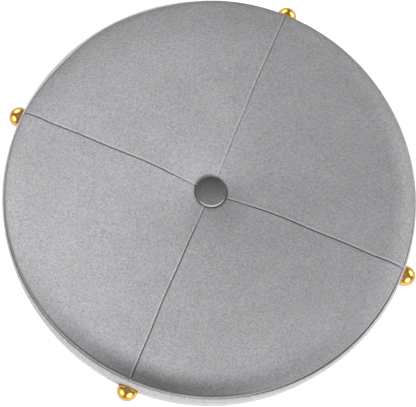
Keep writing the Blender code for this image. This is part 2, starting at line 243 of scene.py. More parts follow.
class NodeTree:
    """Short names for adding and joining nodes."""

    def __init__(self, tree):
        self.tree = tree

    def add(self, kind, **settings):
        made = self.tree.nodes.new(kind)
        for key, value in settings.items():
            setattr(made, key, value)
        return made

    def join(self, source, target):
        self.tree.links.new(source, target)

    def math(self, operation, first, second):
        made = self.add("ShaderNodeMath", operation=operation)
        for socket, value in zip(made.inputs, (first, second)):
            if isinstance(value, (int, float)):
                socket.default_value = value
            else:
                self.join(value, socket)
        return made.outputs["Value"]


class Nodes(NodeTree):
    """A material's nodes."""

    def __init__(self, name):
        self.material = bpy.data.materials.new(name)
        self.material.use_nodes = True
        super().__init__(self.material.node_tree)
        self.shader = self.tree.nodes["Principled BSDF"]
        self.place = self.add("ShaderNodeTexCoord").outputs["Object"]

    def constant(self, **values):
        for name, value in values.items():
            self.shader.inputs[name.replace("_", " ")].default_value = value

    def stretched(self, scale):
        made = self.add("ShaderNodeMapping")
        made.inputs["Scale"].default_value = scale
        self.join(self.place, made.inputs["Vector"])
        return made.outputs["Vector"]

    def noise(self, scale, detail=2.0, rough=0.5, twist=0.0, place=None):
        made = self.add("ShaderNodeTexNoise")
        made.inputs["Scale"].default_value = scale
        made.inputs["Detail"].default_value = detail
        made.inputs["Roughness"].default_value = rough
        made.inputs["Distortion"].default_value = twist
        self.join(place or self.place, made.inputs["Vector"])
        return made.outputs["Fac"]

    def wave(self, scale, axis, twist=0.0, place=None):
        made = self.add("ShaderNodeTexWave", wave_type="BANDS", bands_direction=axis)
        made.inputs["Scale"].default_value = scale
        made.inputs["Distortion"].default_value = twist
        self.join(place or self.place, made.inputs["Vector"])
        return made.outputs["Fac"]

    def fit(self, value, low, high, new_low=0.0, new_high=1.0):
        made = self.add("ShaderNodeMapRange")
        settings = (("From Min", low), ("From Max", high), ("To Min", new_low), ("To Max", new_high))
        for name, number in settings:
            made.inputs[name].default_value = number
        self.join(value, made.inputs["Value"])
        return made.outputs["Result"]

    def blend(self, factor, first, second, mode="MIX"):
        made = self.add("ShaderNodeMix", data_type="RGBA", blend_type=mode)
        if isinstance(factor, (int, float)):
            made.inputs[0].default_value = factor
        else:
            self.join(factor, made.inputs[0])
        for socket, value in ((made.inputs[6], first), (made.inputs[7], second)):
            if isinstance(value, tuple):
                socket.default_value = (*value, 1.0)
            else:
                self.join(value, socket)
        return made.outputs[2]

    def grazing(self, power):
        made = self.add("ShaderNodeLayerWeight")
        made.inputs["Blend"].default_value = 0.5
        return self.math("POWER", made.outputs["Facing"], power)

    def bump(self, height, strength, distance):
        made = self.add("ShaderNodeBump")
        made.inputs["Strength"].default_value = strength
        made.inputs["Distance"].default_value = distance
        self.join(height, made.inputs["Height"])
        self.join(made.outputs["Normal"], self.shader.inputs["Normal"])

    def color(self, source):
        self.join(source, self.shader.inputs["Base Color"])

    def rough(self, source):
        self.join(source, self.shader.inputs["Roughness"])


GRAZING_POWER = 4.0      # how late the painted sheen turns the velvet pale as it turns away from view
PILE_SCALE = 640
TUFT_SCALE = 1500
PILE_SHADE = (0.69, 1.31)    # darkest and lightest share of the tone between single tufts


def velvet(name, dark, light, pale, streaks):
    """Short cut pile with painted light: a painted sheen makes it pale where it is seen from the side and
    dark where it is looked into, and painted light and shade come from a point attribute.
    """
    n = Nodes(name)
    painted_light = n.add("ShaderNodeAttribute", attribute_name="painted_light").outputs["Fac"]
    brushed = n.fit(n.noise(9, 2, 0.5, 0.5), 0.36, 0.66, -0.015, 0.015)
    stroke = n.fit(n.noise(1, 3, 0.6, 0.3, n.stretched(streaks)), 0.3, 0.7, -0.03, 0.03)
    pile = n.fit(n.noise(PILE_SCALE, 2, 0.7, 0.8), 0.3, 0.7)
    tuft = n.fit(n.noise(TUFT_SCALE, 2, 0.5), 0.3, 0.7)
    # Painted light and shade read from the point attribute, with random brushed tone added
    painted_and_brushed = n.math("ADD", painted_light, n.math("ADD", brushed, stroke))
    tone = n.blend(painted_and_brushed, dark, light)
    shade = n.fit(pile, 0.0, 1.0, *PILE_SHADE)
    tone = n.blend(1.0, tone, shade, "MULTIPLY")
    # Painted sheen, paler where the surface is seen from the side, and a painted highlight where the
    # attribute is near 1
    painted_sheen = n.math("MULTIPLY", n.grazing(GRAZING_POWER), painted_light)
    painted_highlight = n.fit(painted_light, 0.8, 1.0, 0.0, 0.6)
    tone = n.blend(n.math("MAXIMUM", painted_sheen, painted_highlight), tone, pale)
    n.color(tone)
    n.rough(n.fit(pile, 0.0, 1.0, 0.72, 0.95))
    n.constant(Specular_IOR_Level=0.15, Sheen_Weight=0.18, Sheen_Roughness=0.4)
    height = n.math("ADD", n.math("MULTIPLY", pile, 0.7), n.math("MULTIPLY", tuft, 0.3))
    n.bump(height, 0.5, 0.5 * MM)
    return n.material


def gold():
    """Polished plating with faint rubbing marks, and a painted darker reflection towards its rim."""
    n = Nodes("gold_finish")
    rub = n.noise(1, 4, 0.7, 0.4, n.stretched((420, 420, 60)))
    cloud = n.fit(n.noise(55, 3), 0.3, 0.7)
    plated = n.blend(cloud, (0.84, 0.46, 0.09), (0.92, 0.57, 0.16))
    # Painted dark reflection: the colour turns dark brown where the surface turns away from view
    n.color(n.blend(n.grazing(1.7), plated, (0.22, 0.085, 0.01)))
    n.rough(n.fit(rub, 0.3, 0.7, 0.16, 0.26))
    n.constant(Metallic=1.0)
    n.bump(rub, 0.05, 0.05 * MM)
    return n.material


def steel():
    n = Nodes("steel_finish")
    brushed = n.noise(1, 4, 0.7, 0.2, n.stretched((900, 900, 120)))
    n.color(n.blend(n.fit(brushed, 0.3, 0.7), (0.42, 0.42, 0.43), (0.66, 0.66, 0.67)))
    n.rough(n.fit(brushed, 0.3, 0.7, 0.28, 0.45))
    n.constant(Metallic=1.0)
    n.bump(brushed, 0.15, 0.1 * MM)
    return n.material


def plywood():
    """Birch faces with long grain, and plies that show as bands on the edges."""
    n = Nodes("plywood_finish")
    grain = n.noise(1, 5, 0.6, 1.2, n.stretched((14, 260, 260)))
    plies = n.wave(155, "Z", 0.3)
    cloud = n.fit(n.noise(9, 3), 0.3, 0.7)
    tone = n.blend(n.fit(grain, 0.3, 0.7), (0.44, 0.29, 0.16), (0.72, 0.54, 0.34))
    tone = n.blend(n.math("MULTIPLY", n.fit(plies, 0.35, 0.65), 0.3), tone, (0.34, 0.21, 0.11))
    n.color(n.blend(n.math("MULTIPLY", cloud, 0.25), tone, (0.60, 0.42, 0.24)))
    n.rough(n.fit(grain, 0.2, 0.8, 0.5, 0.75))
    n.bump(grain, 0.2, 0.3 * MM)
    return n.material


def woven(name, dark, light, threads, slub):
    """A plain weave of two crossing sets of threads."""
    n = Nodes(name)
    warp = n.wave(threads, "DIAGONAL", 0.4)
    weft = n.wave(threads, "Z", 0.4)
    across = n.wave(threads, "X", 0.4)
    weave = n.math("MULTIPLY", n.math("ADD", warp, weft), n.math("ADD", across, 0.4))
    uneven = n.fit(n.noise(slub, 4, 0.6), 0.3, 0.7)
    tone = n.blend(n.fit(weave, 0.2, 1.8), dark, light)
    n.color(n.blend(n.math("MULTIPLY", uneven, 0.35), tone, dark))
    n.rough(n.fit(uneven, 0.0, 1.0, 0.78, 0.95))
    n.constant(Specular_IOR_Level=0.25, Sheen_Weight=0.12, Sheen_Roughness=0.5)
    n.bump(weave, 0.35, 0.25 * MM)
    return n.material


def foam():
    """Open-cell foam."""
    n = Nodes("foam_finish")
    cells = n.add("ShaderNodeTexVoronoi")
    cells.inputs["Scale"].default_value = 900
    n.join(n.place, cells.inputs["Vector"])
    yellowed = n.fit(n.noise(8, 3), 0.3, 0.7)
    n.color(n.blend(yellowed, (0.83, 0.78, 0.62), (0.72, 0.62, 0.40)))
    n.constant(Roughness=0.95, Specular_IOR_Level=0.2)
    n.bump(cells.outputs["Distance"], 0.5, 0.4 * MM)
    return n.material


def rubber():
    n = Nodes("rubber_finish")
    grain = n.noise(900, 3, 0.6)
    dust = n.fit(n.noise(40, 3), 0.4, 0.8)
    n.color(n.blend(dust, (0.018, 0.018, 0.018), (0.055, 0.052, 0.05)))
    n.rough(n.fit(grain, 0.3, 0.7, 0.55, 0.8))
    n.bump(grain, 0.3, 0.15 * MM)
    return n.material


def twine():
    n = Nodes("twine_finish")
    strands = n.wave(900, "Z", 1.0)
    n.color(n.blend(n.fit(strands, 0.2, 0.8), (0.45, 0.38, 0.27), (0.78, 0.72, 0.58)))
    n.constant(Roughness=0.9)
    n.bump(strands, 0.6, 0.3 * MM)
    return n.material


def floor_paint():
    n = Nodes("studio_floor")
    cloud = n.noise(3, 2)
    n.color(n.blend(n.fit(cloud, 0.3, 0.7), (0.90, 0.90, 0.90), (0.93, 0.93, 0.93)))
    n.constant(Roughness=0.8, Emission_Color=(1.0, 1.0, 1.0, 1.0), Emission_Strength=0.42)
    return n.material


FINISH = {
    "velvet": velvet(
        "lid_velvet", (0.085, 0.083, 0.087), (0.535, 0.524, 0.543), (0.75, 0.74, 0.76), (30, 30, 30)),
    # The button's copy is darker, with a brighter pale tone for the painted highlight on its rim
    "button_velvet": velvet(
        "button_velvet", (0.03, 0.029, 0.031), (0.215, 0.21, 0.218), (0.85, 0.84, 0.86), (60, 60, 60)),
    "foam": foam(),
    "plywood": plywood(),
    "lining": woven("lining_cloth", (0.035, 0.035, 0.04), (0.13, 0.13, 0.14), 260, 70),
    "dust_cloth": woven("dust_cloth", (0.010, 0.010, 0.010), (0.05, 0.05, 0.05), 330, 120),
    "gold": gold(),
    "steel": steel(),
    "twine": twine(),
    "rubber": rubber(),
}
# The tub's velvet is a lighter copy of the lid's, painted lighter so that its side reads bright as under a
# sheen
TUB_VELVET_PAINTED_LIGHTER = velvet(
    "tub_velvet_painted_lighter", (0.16, 0.157, 0.163), (0.62, 0.61, 0.628), (0.62, 0.61, 0.63), (110, 110, 9))


def dress_frame_nodes():
    """Every CAD node that stays takes the finish of its slot."""
    for part in frame["record"]["subparts"]:
        node = frame["nodes"][part["node"]]
        node.data.materials.clear()
        node.data.materials.append(FINISH[part["material_slot"]])


def place(piece, body, slot, *nodes):
    """The piece rides on its body and stands for the CAD nodes named, which it hides. slot is not used."""
    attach(piece, body)
    if nodes:
        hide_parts(*nodes)
    return piece


# Outlines of the upholstery

RIM_STEP_SHARE = 0.2     # the rim's outline is this much finer than the rest

def lid_top(radius):
    seat = np.maximum(radius, BUTTON_SEAT_R)
    return CROWN - DIMPLE_DEPTH * np.exp(-seat / DIMPLE_WIDTH)


def lid_outline(step):
    """From the middle of the lid over its edge, down the plug and under the board."""
    edge_start = LID_R - EDGE_ROUND
    foot = RIM_Z + LID_EDGE_LIFT
    radii = np.arange(8 * MM, edge_start, 1 * MM)
    points = [(radius, RIM_Z + float(lid_top(radius))) for radius in radii]
    crown = float(lid_top(edge_start)) + RIM_Z - foot
    for angle in np.radians(np.linspace(90, 0, 40)):
        out = math.cos(angle) ** EDGE_FULLNESS
        points.append((edge_start + EDGE_ROUND * out, foot + crown * math.sin(angle) ** EDGE_FULLNESS))
    under = RIM_Z + LID_EDGE_LIFT / 4
    points += arc((LID_R - 3 * MM, foot), (3 * MM, foot - under), 0, -90, 4)[1:]
    points += arc((PLUG_R + 2 * MM, under - 2 * MM), (2 * MM, 2 * MM), 90, 180, 4)
    points += arc((PLUG_R - 2 * MM, LID_LOW.z + 2 * MM), (2 * MM, 2 * MM), 0, -90, 4)
    points.append((FOLD_R, LID_LOW.z))
    return resampled(points, step)


def tub_radius(height):
    """Outside radius of the tub below its rounded shoulder. The posts follow it on down to the floor."""
    share = np.maximum((TAPER_TOP_Z - height) / (TAPER_TOP_Z - TUB_FOOT_Z), 0.0)
    return TUB_R - (TUB_R - TUB_FOOT_R) * share


def tub_outline(step):
    """From inside the rim over its top, down the side and under the base, finest over the rim."""
    top = TUB_HIGH.z
    bore = [(BORE_R, RING_HIGH.z - 28 * MM)]
    bore += arc((BORE_R + 2 * MM, top - 2 * MM), (2 * MM, 2 * MM), 180, 90, 4)
    rim = arc((RIM_FLAT_R, top - SHOULDER), (TUB_R - RIM_FLAT_R, SHOULDER), 90, 0, 24)
    foot_round = 6 * MM
    heights = np.linspace(TAPER_TOP_Z, TUB_FOOT_Z + foot_round, 40)
    side = [(float(tub_radius(height)), float(height)) for height in heights]
    foot_r = float(tub_radius(TUB_FOOT_Z + foot_round))
    side += arc((foot_r - foot_round, TUB_FOOT_Z + foot_round), (foot_round, foot_round), 0, -90, 5)[1:]
    side.append((FOLD_R, TUB_FOOT_Z))
    fine = step * RIM_STEP_SHARE
    runs = [resampled(bore + rim[:1], step), resampled(rim, fine), resampled(rim[-1:] + side, step)]
    return np.concatenate([runs[0], runs[1][1:], runs[2][1:]])


# Cloth simulation of the padding

SIM_FRAMES = 20
SIM_PRESSURE = 4.0
SIM_SPOKES = 144


def inflate(name, outline, count, held, cap):
    """How far a coarse copy of a padded skin swells, for each outline point and spoke.

    held(radius, angle, height) gives how firmly each point is fastened, from 0 to 1.
    """
    spokes = even_spokes(count)
    piece = turned(name, outline, spokes, FINISH["foam"])
    radius = np.repeat(outline[:, :1], count, axis=1)
    height = np.repeat(outline[:, 1:], count, axis=1)
    angle = np.repeat(spokes[None, :], len(outline), axis=0)
    weights = held(radius, angle, height).ravel()
    group = piece.vertex_groups.new(name="fastened")
    for index, weight in enumerate(weights):
        group.add([index], float(weight), "REPLACE")
    cloth = piece.modifiers.new("swell", "CLOTH")
    settings = cloth.settings
    settings.quality = 6
    settings.mass = 0.3
    settings.tension_stiffness = 18
    settings.compression_stiffness = 18
    settings.shear_stiffness = 8
    settings.bending_stiffness = 0.6
    settings.use_pressure = True
    settings.uniform_pressure_force = SIM_PRESSURE
    settings.vertex_group_mass = "fastened"
    settings.effector_weights.gravity = 0.0
    cloth.point_cache.frame_start = 1
    cloth.point_cache.frame_end = SIM_FRAMES
    scene = bpy.context.scene
    for number in range(1, SIM_FRAMES + 1):
        scene.frame_set(number)
    graph = bpy.context.evaluated_depsgraph_get()
    swollen = piece.evaluated_get(graph).to_mesh()
    after = np.empty(len(swollen.vertices) * 3)
    swollen.vertices.foreach_get("co", after)
    before = np.empty_like(after)
    piece.data.vertices.foreach_get("co", before)
    moved = (after - before).reshape(len(outline), count, 3)
    bpy.data.objects.remove(piece)
    scene.frame_set(1)
    outward = moved[..., 0] * np.cos(angle) + moved[..., 1] * np.sin(angle)
    length = np.sqrt(outward ** 2 + moved[..., 2] ** 2)
    capped = cap * np.tanh(length / cap) / np.maximum(length, 1e-9)
    return outward * capped, moved[..., 2] * capped


def spread(field, rows, spokes):
    """A coarse field of the simulation read at finer rows and spokes."""
    coarse_rows, count = field.shape
    row = np.linspace(0, coarse_rows - 1, rows)
    low = np.clip(np.floor(row).astype(int), 0, coarse_rows - 2)
    part = (row - low)[:, None]
    along = field[low] * (1 - part) + field[low + 1] * part
    turn = np.mod(spokes, math.tau) / math.tau * count
    left = np.floor(turn).astype(int) % count
    share = turn - np.floor(turn)
    share = share * share * (3 - 2 * share)
    return along[:, left] * (1 - share) + along[:, (left + 1) % count] * share


def swelling(name, outline, spokes, step, held, cap):
    """Outward and upward swelling of a padded skin."""
    outward, upward = inflate(name, resampled(outline, step), SIM_SPOKES, held, cap)
    rows = len(outline)
    return spread(outward, rows, spokes), spread(upward, rows, spokes)


def seam_distance(radius, angle):
    """Signed distance to the nearest of the four seams, positive on its anticlockwise side."""
    nearest = np.round(angle / (math.pi / 2))
    off = angle - nearest * math.pi / 2
    return radius * np.sin(off), nearest.astype(int) % 4


def lid_held(radius, angle, height):
    """The lid's skin is fastened at the button and the board, and its seams hold it down."""
    distance = np.abs(seam_distance(radius, angle)[0])
    seams = 0.55 * np.exp(-(distance / (5 * MM)) ** 2)
    edge = np.clip((radius - 0.186) / 0.012, 0.0, 1.0)
    middle = np.clip((0.020 - radius) / 0.005, 0.0, 1.0)
    below = (height < RIM_Z + LID_EDGE_LIFT).astype(float)
    return np.clip(np.maximum.reduce([seams, edge, middle, below]), 0.0, 1.0)


def tub_held(radius, angle, height):
    """The tub's skin is fastened at its rim, its foot and behind the legs."""
    distance = np.abs(seam_distance(radius, angle)[0])
    legs = np.exp(-(distance / (9 * MM)) ** 2)
    rim = np.clip((height - TUB_HIGH.z + 10 * MM) / (8 * MM), 0.0, 1.0)
    foot = np.clip((TUB_FOOT_Z + 16 * MM - height) / (10 * MM), 0.0, 1.0)
    inside = (radius < RIM_FLAT_R - 14 * MM).astype(float) * (height > TAPER_TOP_Z)
    return np.clip(np.maximum.reduce([legs, rim, foot, inside]), 0.0, 1.0)


# Lid

SEAM_DEPTHS = (1.9 * MM, 0.5 * MM, 2.0 * MM, 1.7 * MM)
SEAM_WIDTH = 0.42 * MM
SEAM_PAINTED_SHADE = 0.5               # painted shade in a seam of full depth, by this much
LIP_HEIGHT = 0.75 * MM
LIP_WIDTH = 3.6 * MM
# painted highlight along the side that each seam's allowance is pressed to
LIP_PAINTED_HIGHLIGHT = 0.20
LIP_SIDE = (1, 1, -1, -1)    # the side of each seam that its allowance is pressed to
WANDER = 0.7 * MM            # how far the seams stray from straight
WANDER_PHASES = (0.4, 5.1, 3.6, 2.2)
BUTTON_ROLL = 2.2 * MM       # the padding rises this much round the button
LID_STEP = 1.5 * MM
LID_SIM_STEP = 6 * MM
LID_CAP = 2.4 * MM
BRIGHT_SIDE = 205                 # the side that the lid's top is painted lighter towards, in degrees from +X
LIGHT_SIDE = 322             # the side that the low light stands on
TOP_PAINTED_LEVEL = 0.5                # the middle level of the painted light and shade on top
# how much lighter the top is painted towards one side
TOP_PAINTED_LIGHT = 0.09
BUTTON_BRIGHT_SIDE = BRIGHT_SIDE - 43  # the side that the painted light turns towards close to the button
# how much lighter the painted light makes one side close to the button
BUTTON_PAINTED_LIGHT = 0.15
BUTTON_PAINTED_SHADOW = 0.55     # painted shadow in the ring round the button
CRESCENT_PAINTED_SHADOW = 0.45          # and a darker painted shadow on one side of it
CRESCENT_SIDE = (150, 70)    # middle and width in degrees
LOW_EDGE_PAINTED_SHADE = 0.45          # painted shade along the lowest part of the lid's edge
LOW_EDGE_SIDE = (200, 90)
LOW_EDGE_BAND = (197.5 * MM, 199.3 * MM)
# Broad painted light and shade over the lid: middle and width in degrees, by how much, and from which radius
# to which
BROAD_PAINTED_LIGHT = ((BRIGHT_SIDE + 28, 26, 0.07, 100 * MM, 150 * MM), (118, 32, -0.07, 150 * MM, 180 * MM))
# Painted light and shade on the lid's edge: middle and width in degrees, and by how much
EDGE_PAINTED_LIGHT = ((210, 30, 0.20), (25, 30, 0.16), (278, 31, -0.47), (328, 20, -0.12), (118, 45, -0.06))
# Where the lid's edge is drawn in: middle and width in degrees, and how far
EDGE_PULLS = ((130, 16, 2.4 * MM), (161, 13, 3.2 * MM), (212, 24, -1.2 * MM), (262, 22, 1.2 * MM))


def seam_relief(radius, angle):
    """Height of the lid's skin beside a seam: a sewn-in groove with the allowance raised on one side."""
    distance, seam = seam_distance(radius, angle)
    groove = -np.array(SEAM_DEPTHS)[seam] * np.exp(-np.abs(distance / SEAM_WIDTH) ** 1.5)
    side = distance * np.array(LIP_SIDE)[seam]
    away = np.abs(side)
    rise = away / (0.9 * MM)
    lip = LIP_HEIGHT * np.clip(rise, 0, 1) * np.exp(-(away / LIP_WIDTH) ** 2)
    return groove + np.where(side > 0, lip, 0.25 * lip)


def pull_folds(radius, angle):
    """A soft roll round the button, with short folds that run out from it and beside the seams' ends."""
    near_button = np.exp(-(radius - BUTTON_SEAT_R) / (13 * MM))
    roll = BUTTON_ROLL * np.exp(-((radius - BUTTON_R - 2.6 * MM) / (3.0 * MM)) ** 2)
    folds = np.sin(angle * 15 + 1.7 * np.sin(angle * 3 + 0.6)) + 0.6 * np.sin(angle * 23 + 2.1)
    distance, _ = seam_distance(radius, angle)
    near_edge = np.exp(-((radius - 0.186) / (9 * MM)) ** 2) * np.exp(-np.abs(distance) / (22 * MM))
    puckers = np.sin(angle * 62 + 2.0 * np.sin(radius * 300))
    return roll + 0.22 * MM * folds * near_button + 0.16 * MM * puckers * near_edge


def hand_worked(radius, angle):
    """Shallow unevenness of the stuffing."""
    x = radius * np.cos(angle)
    y = radius * np.sin(angle)
    points = np.stack([x, y, np.zeros_like(x)], axis=-1).reshape(-1, 3)
    wide = smooth_noise(points, 16, 3.1).reshape(radius.shape)
    close = smooth_noise(points, 55, 8.4).reshape(radius.shape)
    fade = np.clip((radius - 0.02) / 0.03, 0, 1) * np.clip((0.198 - radius) / 0.02, 0, 1)
    return fade * (0.30 * MM * wide + 0.07 * MM * close)


def bump_at(angle, center, width):
    """1 at an angle and falling off to both sides of it, in degrees."""
    off = np.mod(np.degrees(angle) - center + 180, 360) - 180
    return np.exp(-(off / width) ** 2)


def smooth_step(value, low, high):
    share = np.clip((value - low) / (high - low), 0.0, 1.0)
    return share * share * (3 - 2 * share)


def seam_wander(piece):
    """Bends the seams a little from side to side, as sewn seams run."""
    points = read_points(piece)
    radius = np.hypot(points[:, 0], points[:, 1])
    angle = np.arctan2(points[:, 1], points[:, 0])
    seam = seam_distance(radius, angle)[1]
    phase = np.array(WANDER_PHASES)[seam]
    bow = np.sin(radius / (42 * MM) + phase) + 0.35 * np.sin(radius / (11 * MM) + 3 * phase)
    inner = smooth_step(radius, 18 * MM, 60 * MM)
    outer = 1 - smooth_step(radius, 165 * MM, 190 * MM)
    nearest = np.round(angle / (math.pi / 2)) * math.pi / 2
    beside = np.exp(-((angle - nearest) / 0.3) ** 2)
    turn = WANDER * bow * inner * outer * beside / np.maximum(radius, 18 * MM)
    turn_points(points, turn)
    write_points(piece, points)


def lid_painted_light(radius, angle):
    """Painted light and shade on the lid: lighter towards one side on top and round the button, painted
    shadow round the button, painted light and shade on the edge, and painted shade in the seams.
    """
    off = angle - math.radians(BRIGHT_SIDE)
    top = TOP_PAINTED_LEVEL + TOP_PAINTED_LIGHT * np.cos(off) * np.clip(radius / (90 * MM), 0, 1)
    near_button = np.exp(-(radius - BUTTON_SEAT_R) / (34 * MM))
    top = top + BUTTON_PAINTED_LIGHT * near_button * np.cos(angle - math.radians(BUTTON_BRIGHT_SIDE))
    for center, width, change, start, full in BROAD_PAINTED_LIGHT:
        top = top + change * bump_at(angle, center, width) * smooth_step(radius, start, full)
    # Painted shadow round the button, darker on one side
    top = top - BUTTON_PAINTED_SHADOW * np.exp(-((radius - BUTTON_R) / (0.8 * MM)) ** 2)
    crescent = np.exp(-((radius - BUTTON_R - 0.2 * MM) / (0.9 * MM)) ** 2)
    top = top - CRESCENT_PAINTED_SHADOW * crescent * bump_at(angle, *CRESCENT_SIDE)
    # Painted light and shade on the lid's edge, with painted shade along its lowest part
    edge = TOP_PAINTED_LEVEL
    for center, width, change in EDGE_PAINTED_LIGHT:
        edge = edge + change * bump_at(angle, center, width)
    low_edge = smooth_step(radius, *LOW_EDGE_BAND)
    edge = edge - LOW_EDGE_PAINTED_SHADE * low_edge * bump_at(angle, *LOW_EDGE_SIDE)
    bend = smooth_step(radius, 175 * MM, 196 * MM)
    # Painted shade in the seams' valleys, and a painted highlight beside them
    distance, seam = seam_distance(radius, angle)
    depth = np.array(SEAM_DEPTHS)[seam] / max(SEAM_DEPTHS)
    valley = SEAM_PAINTED_SHADE * depth * np.exp(-(distance / SEAM_WIDTH) ** 2)
    beside = distance * np.array(LIP_SIDE)[seam] - 1.4 * MM
    lip = LIP_PAINTED_HIGHLIGHT * np.exp(-(beside / (0.7 * MM)) ** 2)
    return top * (1 - bend) + edge * bend - valley + lip


def edge_pull(angle):
    """How far the lid's edge is drawn in."""
    return sum(depth * bump_at(angle, center, width) for center, width, depth in EDGE_PULLS)


def make_lid():
    outline = lid_outline(LID_STEP)
    spokes = quarter_spokes()
    spokes[0] += HALF_GAP / LID_R
    spokes[-1] -= HALF_GAP / LID_R
    whole = np.concatenate([spokes + math.pi / 2 * quarter for quarter in QUARTERS])
    outward, upward = swelling("lid_trial", outline, whole, LID_SIM_STEP, lid_held, LID_CAP)
    count = len(spokes)
    slope = np.gradient(outline, axis=0)
    slope /= np.linalg.norm(slope, axis=1, keepdims=True)
    normal_r = -slope[:, 1:]
    normal_z = slope[:, :1]
    flat_top = (outline[:, 1] > RIM_Z + LID_EDGE_LIFT)[:, None]
    for quarter in QUARTERS:
        columns = slice(quarter * count, (quarter + 1) * count)

        def shape(radius, angle, height):
            lift = seam_relief(radius, angle) + pull_folds(radius, angle) + hand_worked(radius, angle)
            lift = np.where(flat_top, lift, 0.35 * seam_relief(radius, angle))
            drawn_in = edge_pull(angle) * smooth_step(radius, 150 * MM, LID_R)
            radius = radius + outward[:, columns] + normal_r * lift - drawn_in
            height = height + upward[:, columns] + normal_z * lift
            return radius, height

        name = f"lid_velvet_{quarter + 1}"
        panel = turned(name, outline, whole[columns], FINISH["velvet"], False, shape)
        radius, angle = np.meshgrid(outline[:, 0], whole[columns], indexing="ij")
        paint(panel, lid_painted_light(radius, angle))
        seam_wander(panel)
        place(panel, "lid", "velvet", f"lid_panel_{quarter + 1}", "lid_foam")


# Button

def make_button():
    """A domed cap of fabric, gathered under its rim."""
    low = BUTTON_LOW.z
    rim_z = low + 2.5 * MM
    dome = BUTTON_TOP - rim_z
    rim_r = BUTTON_R - 0.4 * MM
    outline = [(0.0, BUTTON_TOP)]
    outline += arc((0.0, rim_z), (rim_r, dome), 88, 0, 22)
    outline += arc((rim_r - 2.2 * MM, rim_z), (2.2 * MM, 2.3 * MM), 0, -90, 6)[1:]
    outline.append((10 * MM, low))

    def gathered(radius, angle, height):
        rim = np.clip((radius / BUTTON_R - 0.80) / 0.2, 0, 1)
        pleats = np.sin(angle * 26 + 1.3 * np.sin(angle * 5))
        sag = 0.10 * MM * np.sin(angle * 3 + 1.0) * (radius / BUTTON_R)
        below = np.clip((rim_z - height) / (2 * MM), 0, 1)
        radius = radius * (1 + 0.006 * pleats * rim * (1 + 2 * below))
        return radius, height + sag * (1 - rim)

    cap = turned("button_fabric", outline, even_spokes(156), FINISH["button_velvet"], True, gathered)
    radius, angle = np.meshgrid(np.asarray(outline)[:, 0], even_spokes(156), indexing="ij")
    rim = radius / rim_r
    front = LIGHT_SIDE - 25
    # Painted light on the cap: lighter towards the low light, a painted highlight along the rim on that side,
    # and painted shade at the very edge
    painted_light_gradient = 0.42 + 0.25 * rim * np.cos(angle - math.radians(front))
    painted_rim_highlight = 0.75 * np.exp(-((rim - 0.955) / 0.028) ** 2) * bump_at(angle, front, 60)
    paint(cap, painted_light_gradient + painted_rim_highlight - 0.3 * smooth_step(rim, 0.97, 1.0))
    place(cap, "lid", "button_velvet", "button_cover")


# Tub

TUB_STEP = 2.2 * MM
TUB_SIM_STEP = 8 * MM
TUB_CAP = 1.6 * MM
DENT_SOFT = 3.0 * MM
CREASE_R = LID_R + 0.2 * MM
CREASE_WIDTH = 0.9 * MM
CREASE_DEPTH = 3.0 * MM
# the level of painted light on the tub's cover, lighter than the lid's top
COVER_PAINTED_LEVEL = 0.76
CREASE_PAINTED_SHADE = 0.8             # painted shade in the crease, by this much
CREASE_OPEN_SIDE = (300, 45) # but not here: middle and width in degrees
# Painted light and shade on the tub's side: middle and width in degrees, and by how much
COVER_PAINTED_SIDES = ((165, 60, 0.18), (LIGHT_SIDE - 15, 55, -0.20))


def post_axis(height):
    """Distance of a post's centre line from the tub's axis."""
    return tub_radius(np.maximum(height, POST_STRAIGHT_Z)) + POST_R - POST_SINK


def soft_min(first, second, width):
    """The smaller of the two, rounded where they cross."""
    share = np.clip(0.5 + 0.5 * (second - first) / width, 0.0, 1.0)
    return second * (1 - share) + first * share - width * share * (1 - share)


def leg_room(radius, angle, height):
    """The padding gives way behind each ball and post."""
    room = 0.3 * MM
    distance = np.abs(seam_distance(radius, angle)[0])
    slope = 1.1
    post = POST_R + room
    behind_post = np.sqrt(np.maximum(post ** 2 - distance ** 2, 0.0))
    limit = post_axis(height) - behind_post + slope * np.maximum(distance - post, 0.0)
    limit = np.where(height < BALL_Z, limit, radius + 1.0)
    ball = BALL_R + room
    reach = np.hypot(distance, height - BALL_Z)
    behind_ball = np.sqrt(np.maximum(ball ** 2 - reach ** 2, 0.0))
    ball_limit = BALL_AXIS - behind_ball + slope * np.maximum(reach - ball, 0.0)
    dented = soft_min(radius, np.minimum(limit, ball_limit), DENT_SOFT)
    outside = radius > tub_radius(height) - 9.5 * MM
    return np.where(outside & (height > TUB_FOOT_Z + 1 * MM), np.minimum(dented, radius), radius)


def tub_creases(radius, angle, height):
    """Faint upright pulls in the cover, stronger towards the foot."""
    down = np.clip((RIM_Z - height) / (RIM_Z - TUB_FOOT_Z), 0, 1)
    waves = np.sin(angle * 29 + 2.2 * np.sin(angle * 4 + 0.7)) + 0.5 * np.sin(angle * 47 + 1.1 + 3 * down)
    rim = np.clip((TUB_HIGH.z - height) / (12 * MM), 0, 1)
    fade = np.clip(down * 4, 0, 1) * rim
    points = np.stack([radius * np.cos(angle), radius * np.sin(angle), height], axis=-1).reshape(-1, 3)
    uneven = smooth_noise(points, 18, 5.2).reshape(radius.shape)
    return fade * (0.14 * MM * waves * (0.3 + down) + 0.55 * MM * uneven)


def rim_crease(radius, angle, height):
    """The cover dips into a dark crease under the lid's edge and rolls up again outside it."""
    on_rim = height > TUB_HIGH.z - SHOULDER
    out = radius - CREASE_R + edge_pull(angle)
    dip = np.exp(-(out / CREASE_WIDTH) ** 2)
    lip = np.exp(-((out - 2.6 * MM) / (1.2 * MM)) ** 2)
    open_front = 1 - 0.6 * bump_at(angle, 287, 26)
    return np.where(on_rim, -CREASE_DEPTH * open_front * dip + 0.7 * MM * lip, 0.0)


